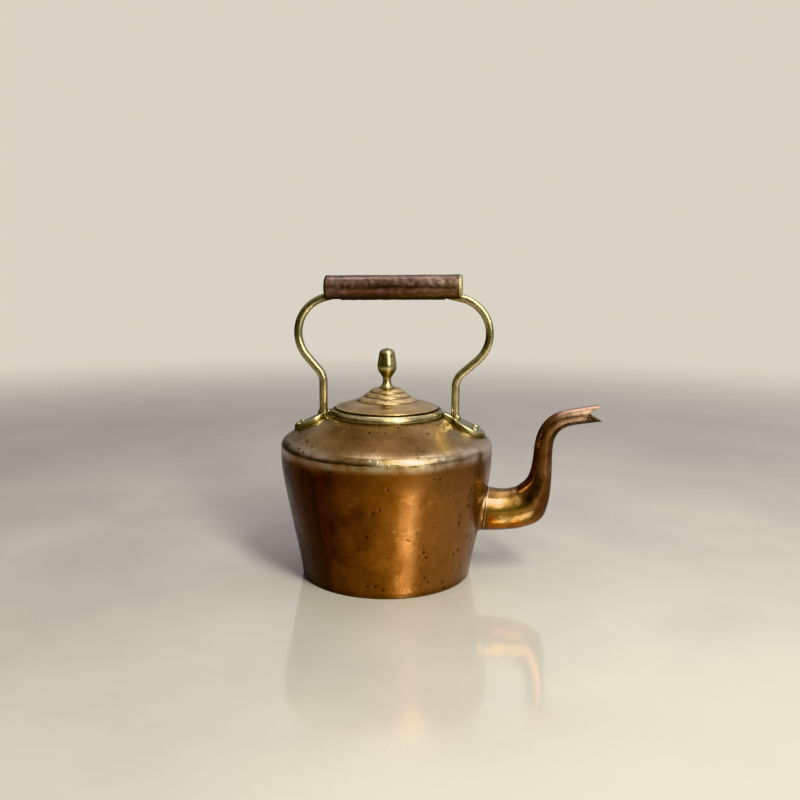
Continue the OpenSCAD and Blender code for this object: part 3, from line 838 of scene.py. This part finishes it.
def spine(p):
    """The spout station nearest to a point, as a point on its middle line."""
    near = min(SPOUT, key=lambda s: (s[0] - p.x) ** 2 + (s[1] - p.z) ** 2)
    return Vector((near[0], 0, near[1]))


# ------------------------------------------------------------------ handle
def arm_path(side):
    """From the foot up the arm, out round the knee and round the bulge to the grip."""
    (kx, kz), (bx, bz), r = side["knee"], side["bulge"], side["bulge_r"]
    way = (bx - kx, bz - kz)
    turn = atan2(way[1], way[0]) + acos((KNEE_R + r) / hypot(*way))
    start = shoulder_z(side["arm"]) + 1.5
    return joined(line((side["arm"], start), (side["arm"], kz), 26), arc(kx, kz, KNEE_R, pi, turn, 16),
                  arc(bx, bz, r, turn - pi, radians(75), 60))


def section(half_t, half_w, columns):
    """Rounded rectangular section of the bar, with slightly crowned faces."""
    power = 2 / 3.1
    ring = []
    for a in (2 * pi * j / columns for j in range(columns)):
        c, s = cos(a), sin(a)
        ring.append((half_t * abs(c) ** power * (1 if c > 0 else -1), half_w * abs(s) ** power * (1 if s > 0 else -1)))
    return ring


def make_bar():
    columns = 32
    rear = [(-x, z) for x, z in arm_path(REAR)]
    middle = [(-48, 271), (-44, 271.4), (-40, 271.7), (0, 272.3), (44, 272.9), (50, 272.8)]
    path = np.array(joined(rear, middle, arm_path(FRONT)[::-1]))
    ways = np.gradient(path, axis=0)
    points = []
    for (x, z), (dx, dz) in zip(path, ways):
        above = z - (shoulder_z(abs(x)) + FOOT_T)
        flare = 1.6 * smoothstep(3.6, 0.0, above)
        d = atan2(dz, dx)
        for up, across in section(BAR_T / 2, BAR_W / 2 * (1 + 0.06 * flare), columns):
            outward = flare * (1 if x > 0 else -1) if (-up * sin(d)) * x > 0 else 0.0
            points.append(Vector((x + outward - up * sin(d), across, z + up * cos(d))))
    faces = grid_faces(len(path), columns)
    faces.append(tuple(range(columns))[::-1])
    faces.append(tuple(range((len(path) - 1) * columns, len(path) * columns)))

    def push(p, normal):
        return 0.12 * (0.5 + 0.5 * noise.noise(p / 9))

    def grime_bar(p):
        # dirt and painted shade where the bar meets the feet and near the grip
        at_foot = 0.75 * smoothstep(6, 0.5, p.z - shoulder_z(abs(p.x)) - 4.0)
        at_grip = 0.8 * smoothstep(256, 268, p.z) * smoothstep(76, 66, abs(p.x - GRIP_MID.x) + 2)
        return max(at_foot, at_grip)

    def rub_bar(p):
        # wear and a painted highlight on the -Y side of the upper arms
        return 0.7 * smoothstep(200, 225, p.z) * smoothstep(1.0, 3.4, -p.y)

    make_piece("handle_bar_skin", points, faces, [BRASS], "kettle", ["handle_bar"],
               marks=[grime_bar, rub_bar], push=push, sharp=60)


def foot_outline(pad_x):
    """Round pad with a short neck to the collar, as offsets from the middle of the pad."""
    fillet = 2.2
    join = asin((FOOT_NECK + fillet) / (FOOT_R + fillet))
    ax, ay = -(FOOT_R + fillet) * cos(join), FOOT_NECK + fillet
    half = [(FOOT_R * cos(a), FOOT_R * sin(a)) for a in np.linspace(0, pi - join, 40)]
    half += [(ax + fillet * cos(a), ay + fillet * sin(a)) for a in np.linspace(-join, -pi / 2, 6)[1:]]
    end = FOOT_IN - pad_x
    half += [(max(end + 1, min(ax - 0.5, x)), FOOT_NECK) for x in (ax - 1, (ax + end) / 2, end + 1)]
    half += [(end + 1 - sin(a), FOOT_NECK - 1 + cos(a)) for a in np.linspace(0, pi / 2, 4)[1:]]
    half += [(end, y) for y in (4.0, 2.0, 0.0)]
    return half + [(x, -y) for x, y in half[-2:0:-1]]


def make_foot(name, node, flip, pad_x):
    """Pad that lies on the shoulder, with a rounded edge and a crowned top."""
    outline = foot_outline(pad_x)
    edge, crown = 1.4, 0.35
    wall = FOOT_T - edge - crown
    levels = [(1.0, 0.0), (1.0, wall * 0.5)]
    levels += [(1 - edge * (1 - cos(a)) / FOOT_R, wall + edge * sin(a)) for a in np.linspace(0, pi / 2, 8)]
    rim = 1 - edge / FOOT_R
    levels += [(rim * t, FOOT_T - crown * t ** 2) for t in (0.92, 0.8, 0.65, 0.5, 0.35, 0.2, 0.08)]
    columns = len(outline)
    points = []
    for share, height in levels:
        for du, dv in outline:
            x, y = pad_x + du * share, dv * share
            points.append((flip * x, flip * y, shoulder_z(hypot(x, y), -height)))
    faces = grid_faces(len(levels), columns)
    faces.append(tuple(range(columns))[::-1])
    faces.append(tuple(range((len(levels) - 1) * columns, len(levels) * columns)))

    def push(p, normal):
        return 0.15 * (0.5 + 0.5 * noise.noise(p / 12))

    def grime_foot(p):
        # painted shade low on the pad's edge; dirt and painted shade round the rivets and where the bar stands
        height = p.z - shoulder_z(hypot(p.x, p.y))
        bar = hypot(max(0.0, abs(abs(p.x) - (FRONT if flip > 0 else REAR)["arm"]) - BAR_T / 2),
                    max(0.0, abs(p.y) - BAR_W / 2))
        side = 0.8 * smoothstep(FOOT_T - 1.6, 1.2, height)
        return max(side, 0.5 * smoothstep(1.4, 0.2, rivet_distance(p)), 0.6 * smoothstep(1.6, 0.2, bar))

    def rub_foot(p):
        # wear and a painted highlight on the pad's top
        height = p.z - shoulder_z(hypot(p.x, p.y))
        return 0.8 * smoothstep(FOOT_T - crown - 1.2, FOOT_T - crown - 0.5, height)

    make_piece(name, points, faces, [BRASS], "kettle", [node], marks=[grime_foot, rub_foot],
               push=push, sharp=50)


def rivet_distance(p):
    """Distance from the edge of the nearest rivet head, seen from above."""
    x, y = RIVET_X * cos(RIVET_TURN), RIVET_X * sin(RIVET_TURN)
    return max(0.0, hypot(abs(p.x) - x, abs(p.y) - y) - RIVET_HEAD)


def at_rivets(points, faces):
    """The same small piece at the two rivets of each foot."""
    many, every = [], []
    for turn in (-RIVET_TURN, RIVET_TURN, pi - RIVET_TURN, pi + RIVET_TURN):
        place = (Matrix.Rotation(turn, 4, "Z") @ Matrix.Translation((RIVET_X, 0, shoulder_z(RIVET_X)))
                 @ Matrix.Rotation(SLOPE, 4, "Y"))
        every += [tuple(i + len(many) for i in face) for face in faces]
        many += moved(points, place)
    return many, every


def rivet_height(p):
    """How far a point near a rivet is above the shoulder's outer face."""
    return (hypot(p.x, p.y) - RIVET_X) * sin(SLOPE) + (p.z - shoulder_z(RIVET_X)) * cos(SLOPE)


def make_rivets():
    under, seat, head_h = SHEET + 1.5, FOOT_T - 0.7, 2.2
    dome = [(RIVET_HEAD * cos(a), seat + 0.4 + (head_h - 0.4) * sin(a)) for a in np.linspace(0, pi / 2, 12)]
    outline = joined(
        [(0, -under - 1.4), (2.0, -under - 1.4)], arc(2.4, -under - 0.4, 1.0, -pi / 2, 0, 5),
        [(3.4, -under), (RIVET_R, -under), (RIVET_R, seat), (RIVET_HEAD - 0.2, seat)], dome)
    points, faces = at_rivets(*lathe(outline, 40))

    def grime_rivet(p):
        # dirt and painted shade low on each head, where it meets the pad
        return 0.8 * smoothstep(seat + 1.3, seat + 0.4, rivet_height(p))

    def rub_rivet(p):
        # wear and a painted highlight on the rest of each head
        return 0.9 - grime_rivet(p)

    make_piece("foot_rivet_heads", points, faces, [BRASS], "kettle", ["foot_rivets"],
               marks=[grime_rivet, rub_rivet], push=lambda p, n: 0.12 * (0.5 + 0.5 * noise.noise(p / 1.8)))


def make_roves():
    bottom = -SHEET - 0.25 - SHEET
    outline = [(RIVET_R + 0.1, bottom), (4.7, bottom), (5.0, bottom + 0.3), (5.0, bottom + SHEET - 0.3),
               (4.7, bottom + SHEET), (RIVET_R + 0.1, bottom + SHEET)]
    points, faces = at_rivets(*lathe(outline, 48))

    def grime_rove(p):
        return 0.4

    make_piece("rivet_rove_rings", points, faces, [TIN], "kettle", ["rivet_roves"], marks=[grime_rove])


def grip_place(turn=0.0):
    return (Matrix.Translation(GRIP_MID) @ Matrix.Rotation(-GRIP_TILT, 4, "Y") @ Matrix.Rotation(turn, 4, "Z")
            @ Matrix.Rotation(pi / 2, 4, "Y"))


def notch_cutter(side):
    """Slot underneath an end of the grip, where the bar comes in."""
    end = side * (GRIP_LEN / 2 - CAP_T)
    place = Matrix.Translation(GRIP_MID) @ Matrix.Rotation(-GRIP_TILT, 4, "Y")
    low = (end - GRIP_NOTCH_LEN, -GRIP_NOTCH_W / 2, -GRIP_R - 4)
    return box_solid(low, (end + GRIP_NOTCH_LEN, GRIP_NOTCH_W / 2, -GRIP_R + 4), place)


def make_grip():
    half = GRIP_LEN / 2 - CAP_T
    outer = joined([(GRIP_R - 0.5, -half)], line((GRIP_R, -half + 0.5), (GRIP_R, half - 0.5), 90),
                   [(GRIP_R - 0.4, half)])
    inner = line((GRIP_R - SHEET, half), (GRIP_R - SHEET, -half), 20)
    points, faces = lathe(joined(outer, inner), 96)
    place = grip_place()
    points = moved(points, place)
    back = place.inverted()

    def push(p, normal):
        local = back @ p
        r = hypot(local.x, local.y)
        if r < GRIP_R - 0.8 or abs(local.z) > half - 1:
            return 0.0
        beaten = noise.noise(p / 7.5) ** 2 * 0.9 + 0.10 * (0.5 + 0.5 * noise.noise(p / 3.2))
        fade = smoothstep(half, half - 8, abs(local.z))
        return fade * (0.20 * (0.5 + 0.5 * noise.noise(p / 22)) + beaten)

    def grime_grip(p):
        # dirt at the ends; painted shade on the underside
        local = back @ p
        ends = 0.6 * smoothstep(half - 3, half, abs(local.z))
        return max(ends, 0.75 * smoothstep(-3.0, -10.0, p.z - GRIP_MID.z - 0.0139 * (p.x - GRIP_MID.x)))

    def rub_grip(p):
        # wear and a painted highlight along the upper side
        return smoothstep(-4.0, 2.0, p.z - GRIP_MID.z) * smoothstep(11.5, 8.0, p.z - GRIP_MID.z)

    make_piece("grip_tube_skin", points, faces, [GRIP], "kettle", ["grip_tube"],
               marks=[grime_grip, rub_grip], push=push, cutters=[notch_cutter(-1), notch_cutter(1)])


def make_cap(name, node, turn, material, outline):
    points, faces = lathe(outline, 96)
    points = moved(points, grip_place(turn))
    side = -1 if turn else 1
    cutter = notch_cutter(side)

    def grime_cap(p):
        # dirt and painted shade round the edge, painted shade on the underside
        r = hypot(p.y, p.z - GRIP_MID.z)
        return 0.55 * smoothstep(GRIP_R - 1.6, GRIP_R, r) + 0.5 * smoothstep(-4, -9, p.z - GRIP_MID.z)

    def rub_cap(p):
        # wear and a painted highlight on the upper side
        return 0.4 * smoothstep(0, 6, p.z - GRIP_MID.z)

    make_piece(name, points, faces, [material], "kettle", [node], marks=[grime_cap, rub_cap],
               push=lambda p, n: 0.12 * (0.5 + 0.5 * noise.noise(p / 5)), cutters=[cutter])


def make_caps():
    start = GRIP_LEN / 2 - CAP_T
    dome = [(GRIP_R * cos(a), start + CAP_T * sin(a) ** 0.8) for a in np.linspace(0, pi / 2, 14)]
    make_cap("grip_cap_rear_skin", "grip_cap_rear", pi, GRIP,
             joined(line((0, start), (GRIP_R, start), 8), dome))
    disc = joined(line((0, start), (GRIP_R - 0.1, start), 8), arc(GRIP_R - 1.0, start + CAP_T - 1.0, 0.9, 0, pi / 2, 6),
                  line((GRIP_R - 1.6, start + CAP_T - 0.1), (GRIP_R - 2.6, start + CAP_T - 0.7), 3),
                  line((GRIP_R - 3.2, start + CAP_T - 0.8), (0, start + CAP_T - 0.3), 8))
    make_cap("grip_cap_front_skin", "grip_cap_front", 0.0, CAP_TIN, disc)


# ------------------------------------------------------------------ lid
def lid_steps(shift, steps):
    """The three stepped rings, each half way between a straight step and a quarter round."""
    points = [(LID_STEPS_X[0] - shift, LID_STEPS_Z[0] - shift)]
    for x0, x1, z0, z1 in zip(LID_STEPS_X, LID_STEPS_X[1:], LID_STEPS_Z, LID_STEPS_Z[1:]):
        for t in np.linspace(0, 1, steps + 1)[1:]:
            across = RING_BULGE * sin(t * pi / 2) + (1 - RING_BULGE) * t
            up = RING_BULGE * cos(t * pi / 2) + (1 - RING_BULGE) * (1 - t)
            points.append((x0 + (x1 - x0) * across - shift, z1 + (z0 - z1) * up - shift))
    return points


def lid_ring_share(p):
    """1 on the crowns of the rings, 0 in their grooves."""
    r = hypot(p.x, p.y)
    for x0, x1 in zip(LID_STEPS_X, LID_STEPS_X[1:]):
        if x0 <= r <= x1:
            share = (r - x0) / (x1 - x0)
            return smoothstep(0.1, 0.45, share) * smoothstep(0.999, 0.93, share)
    return 0.0


def make_lid():
    inner_r = MOUTH_R - 0.3 - SHEET
    top = joined(line((2.05, LID_TOP), (LID_STEPS_X[0], LID_TOP), 6), lid_steps(0, 12),
                 line((LID_STEPS_X[-1], LID_STEPS_Z[-1]), (40, 167), 8), line((40, 167), (LID_R - 1, RIM_Z + 1.7), 6),
                 arc(LID_R - 0.85, RIM_Z + 0.85, 0.85, pi / 2, -pi / 2, 10))
    under = joined([(inner_r, RIM_Z), (inner_r, RIM_Z + 1.7)], line((inner_r, RIM_Z + 1.7), (38.6, 166), 4),
                   lid_steps(SHEET, 6)[::-1], line((LID_STEPS_X[0] - SHEET, LID_TOP - SHEET), (2.05, LID_TOP - SHEET), 3))
    points, faces = lathe(joined(top, under), 216)

    def grime_lid(p):
        # painted shade in the grooves between the rings and round the knob, and a painted shadow in the gap at the
        # rim's foot
        r = hypot(p.x, p.y)
        groove = max(smoothstep(0.9, 0.0, abs(r - x)) for x in LID_STEPS_X[1:])
        knob = smoothstep(10.0, 7.4, r)
        rim = smoothstep(LID_R - 0.9, LID_R - 0.2, r) * smoothstep(RIM_Z + 1.4, RIM_Z + 0.9, p.z)
        return max(0.75 * groove, 0.7 * knob, rim)

    def rub_lid(p):
        # wear and a painted highlight on the ring crowns and the rim
        r = hypot(p.x, p.y)
        return max(lid_ring_share(p), 0.6 * smoothstep(LID_R - 2.2, LID_R - 1.0, r) * smoothstep(RIM_Z + 1, RIM_Z + 1.6, p.z))

    def push(p, normal):
        r = hypot(p.x, p.y)
        if normal.z < 0.3 or r < 30 or r > LID_R - 2:
            return 0.0
        return 0.25 * smoothstep(30, 34, r) * (0.5 + 0.5 * noise.noise(p / 14))

    make_piece("lid_cover_skin", points, faces, [LID, TIN], "lid", ["lid_cover"], push=push,
               pick=lambda c, n: 1 if n.z < -0.3 and hypot(c.x, c.y) < LID_R - 2 else 0, marks=[grime_lid, rub_lid])


def make_skirt():
    outer = MOUTH_R - 0.3
    low, high = SEAT_Z - 11, SEAT_Z + 0.05
    outline = joined([(outer - SHEET, low + 0.3), (outer - SHEET + 0.3, low), (outer - 0.3, low)],
                     line((outer, low + 0.3), (outer, high), 8), line((outer - SHEET, high), (outer - SHEET, low + 0.3), 8))
    points, faces = lathe(outline, 180)

    def grime_skirt(p):
        return 0.25 + 0.5 * smoothstep(SEAT_Z - 3, SEAT_Z, p.z)

    make_piece("lid_skirt_skin", points, faces, [LID, TIN], "lid_seat", ["lid_skirt"],
               pick=inside_face, marks=[grime_skirt])


def make_knob():
    """Acorn with a small nub, on a waisted foot."""
    acorn = catmull([(1.3, KNOB_TIP - 1.1), (3.2, KNOB_TIP - 1.5), (5.4, KNOB_TIP - 2.3), (7.0, KNOB_TIP - 3.8),
                     (7.7, KNOB_TIP - 6.4), (8.2, KNOB_TIP - 10.2), (9.25, KNOB_TIP - 17.4), (8.6, KNOB_TIP - 21.8),
                     (6.4, KNOB_TIP - 25.6), (4.5, KNOB_TIP - 28.4), (3.9, KNOB_TIP - 30.8),
                     (4.4, KNOB_TIP - 34.6), (5.9, KNOB_TIP - 37.4), (7.3, LID_TOP + 0.4)], 7)
    washer = LID_TOP - 2 * SHEET
    outline = joined(arc(0, KNOB_TIP - 1.1, 1.1, pi / 2, 0, 6), [tuple(p) for p in acorn],
                     [(7.3, LID_TOP), (2, LID_TOP), (2, washer), (3.2, washer), (2.6, washer - 1.2),
                      (0, washer - 1.6)])
    points, faces = lathe(outline, 72)

    def grime_knob(p):
        # dirt and painted shade in the waist, at the foot and on the crown
        waist = smoothstep(KNOB_TIP - 20, KNOB_TIP - 23, p.z) * smoothstep(KNOB_TIP - 31, KNOB_TIP - 28, p.z)
        foot = smoothstep(LID_TOP + 1.0, LID_TOP + 0.1, p.z)
        crown = smoothstep(KNOB_TIP - 3.2, KNOB_TIP - 1.4, p.z)
        return max(0.6 * waist, 0.85 * foot, 0.6 * crown)

    def rub_knob(p):
        # wear and a painted highlight on the acorn's body
        return 0.7 * smoothstep(KNOB_TIP - 22, KNOB_TIP - 17, p.z) * smoothstep(KNOB_TIP - 2, KNOB_TIP - 5, p.z)

    make_piece("lid_knob_skin", points, faces, [BRASS], "lid", ["lid_knob"],
               marks=[grime_knob, rub_knob], push=lambda p, n: 0.06 * (0.5 + 0.5 * noise.noise(p / 4)))


def make_washer():
    top = LID_TOP - SHEET - 0.02
    outline = [(2.1, top - SHEET), (5.7, top - SHEET), (6, top - SHEET + 0.3), (6, top - 0.3), (5.7, top), (2.1, top)]
    points, faces = lathe(outline, 64)

    def grime_washer(p):
        return 0.35

    make_piece("knob_washer_skin", points, faces, [BRASS], "lid", ["knob_washer"], marks=[grime_washer])


# ------------------------------------------------------------------ stage
YAW, PITCH, ROLL = radians(7.5), radians(8.8956), radians(0.348)
RIGHT = Vector((cos(YAW), sin(YAW), 0))
AHEAD = Vector((-sin(YAW), cos(YAW), 0))
UP = Vector((0, 0, 1))
BACK_TURN, BACK_RISE = radians(28), radians(14)   # where the surround glows behind the kettle


def make_camera():
    """Looks at the kettle's side from a little above, with the spout's end nearer."""
    sight = AHEAD * cos(PITCH) - UP * sin(PITCH)
    rise = AHEAD * sin(PITCH) + UP * cos(PITCH)
    side = RIGHT * cos(ROLL) + rise * sin(ROLL)
    top = rise * cos(ROLL) - RIGHT * sin(ROLL)
    data = bpy.data.cameras.new("camera")
    data.lens, data.sensor_width = 38.25, 36
    data.clip_start, data.clip_end = 0.05, 50
    camera = bpy.data.objects.new("camera", data)
    bpy.context.scene.collection.objects.link(camera)
    place = (RIGHT * 12.6 - AHEAD * 812 + UP * 296.9) * MM
    camera.matrix_world = Matrix.Translation(place) @ Matrix((side, top, -sight)).transposed().to_4x4()
    bpy.context.scene.camera = camera


def make_light(name, azimuth, elevation, distance, size, watts, colour):
    """Soft box that looks at the kettle. Azimuth is to the right of the camera's side."""
    data = bpy.data.lights.new(name, "AREA")
    data.shape, data.size, data.size_y = "RECTANGLE", size[0], size[1]
    data.energy, data.color = watts, colour
    light = bpy.data.objects.new(name, data)
    bpy.context.scene.collection.objects.link(light)
    a, e = radians(azimuth), radians(elevation)
    way = (RIGHT * sin(a) - AHEAD * cos(a)) * cos(e) + UP * sin(e)
    target = Vector((0, 0, 0.11))
    light.location = target + way * distance
    light.rotation_mode = "QUATERNION"
    light.rotation_quaternion = way.to_track_quat("Z", "Y")
    light.visible_camera = False


def make_floor():
    """Pale round floor, polished near the kettle, that fades out into the pale surround."""
    outline = [(0, 0)] + [(r, 0) for r in (40, 90, 150, 300, 600, 1200, 2400)]
    columns = 96
    angles = np.arange(columns) * 2 * pi / columns
    points = [(r * cos(a), r * sin(a), 0) for r, _ in outline[1:] for a in angles]
    faces = grid_faces(len(outline) - 1, columns) + [tuple(range(columns))[::-1]]
    mesh = bpy.data.meshes.new("floor")
    mesh.from_pydata([tuple(v * MM for v in p) for p in points], [], faces)
    floor = bpy.data.objects.new("floor", mesh)
    bpy.context.scene.collection.objects.link(floor)
    n = Nodes("pale_floor")
    colour = n.ramp(n.noise(6, 4), (0.35, "#968e90"), (0.65, "#9e9697"))
    n.links.new(colour, n.shader.inputs["Base Color"])
    length = n.nodes.new("ShaderNodeVectorMath")
    length.operation = "LENGTH"
    n.links.new(n.place, length.inputs[0])
    away = length.outputs["Value"]
    polish = n.between(away, 0.26, 0.40, 0.07, 0.5)
    n.links.new(n.math("ADD", polish, n.between(n.noise(70, 4), 0.3, 0.7, 0.0, 0.03)), n.shader.inputs["Roughness"])
    n.shader.inputs["IOR"].default_value = 1.8
    n.links.new(n.between(away, 2.2, 0.7), n.shader.inputs["Alpha"])
    mesh.materials.append(n.material)


def make_world():
    """Pale surround for the camera, and a darker room with a lit ceiling for reflections."""
    world = bpy.data.worlds.new("studio")
    bpy.context.scene.world = world
    world.use_nodes = True
    tree = world.node_tree
    tree.nodes.clear()
    new, link = tree.nodes.new, tree.links.new
    way = new("ShaderNodeTexCoord").outputs["Generated"]

    def glow(direction, low, high, tone):
        dot = new("ShaderNodeVectorMath")
        dot.operation = "DOT_PRODUCT"
        link(way, dot.inputs[0])
        dot.inputs[1].default_value = direction
        reach = new("ShaderNodeMapRange")
        reach.interpolation_type = "SMOOTHSTEP"
        link(dot.outputs["Value"], reach.inputs["Value"])
        reach.inputs["From Min"].default_value, reach.inputs["From Max"].default_value = low, high
        part = new("ShaderNodeMix")
        part.data_type = "RGBA"
        link(reach.outputs[0], part.inputs[0])
        part.inputs[6].default_value, part.inputs[7].default_value = (0, 0, 0, 1), (*tone, 1)
        return part.outputs[2]

    total = None
    back = (AHEAD * cos(BACK_TURN) + RIGHT * sin(BACK_TURN)) * cos(BACK_RISE) + UP * sin(BACK_RISE)
    for part in (glow(UP, 0.10, 0.75, (0.52, 0.50, 0.47)), glow(back, 0.45, 0.98, (0.45, 0.435, 0.41)),
                 glow(RIGHT, 0.2, 1.0, (0.26, 0.25, 0.23)), glow(-UP, -1.0, -0.99, (0.045, 0.043, 0.04))):
        if total is None:
            total = part
            continue
        add = new("ShaderNodeMix")
        add.data_type, add.blend_type = "RGBA", "ADD"
        add.inputs[0].default_value = 1
        link(total, add.inputs[6])
        link(part, add.inputs[7])
        total = add.outputs[2]
    room, surround = new("ShaderNodeBackground"), new("ShaderNodeBackground")
    link(total, room.inputs["Color"])
    surround.inputs["Color"].default_value = rgb("#e0d9cb")
    choose, seen = new("ShaderNodeMixShader"), new("ShaderNodeLightPath")
    link(seen.outputs["Is Camera Ray"], choose.inputs[0])
    link(room.outputs[0], choose.inputs[1])
    link(surround.outputs[0], choose.inputs[2])
    link(choose.outputs[0], new("ShaderNodeOutputWorld").inputs["Surface"])


make_camera()
make_world()
make_floor()
make_light("window", 27, 38, 1.25, (0.21, 1.0), 38, (0.95, 1.0, 0.74))
make_light("ceiling", 150, 78, 1.5, (1.1, 1.1), 7, (1.0, 0.975, 0.94))
bpy.context.scene.view_settings.view_transform = "Khronos PBR Neutral"

make_base()
make_wall()
make_shoulder()
make_collar()
make_flange()
make_spout()
make_bar()
make_foot("handle_foot_front_skin", "handle_foot_front", 1, PAD_FRONT)
make_foot("handle_foot_rear_skin", "handle_foot_rear", -1, PAD_REAR)
make_rivets()
make_roves()
make_grip()
make_caps()
make_lid()
make_skirt()
make_knob()
make_washer()
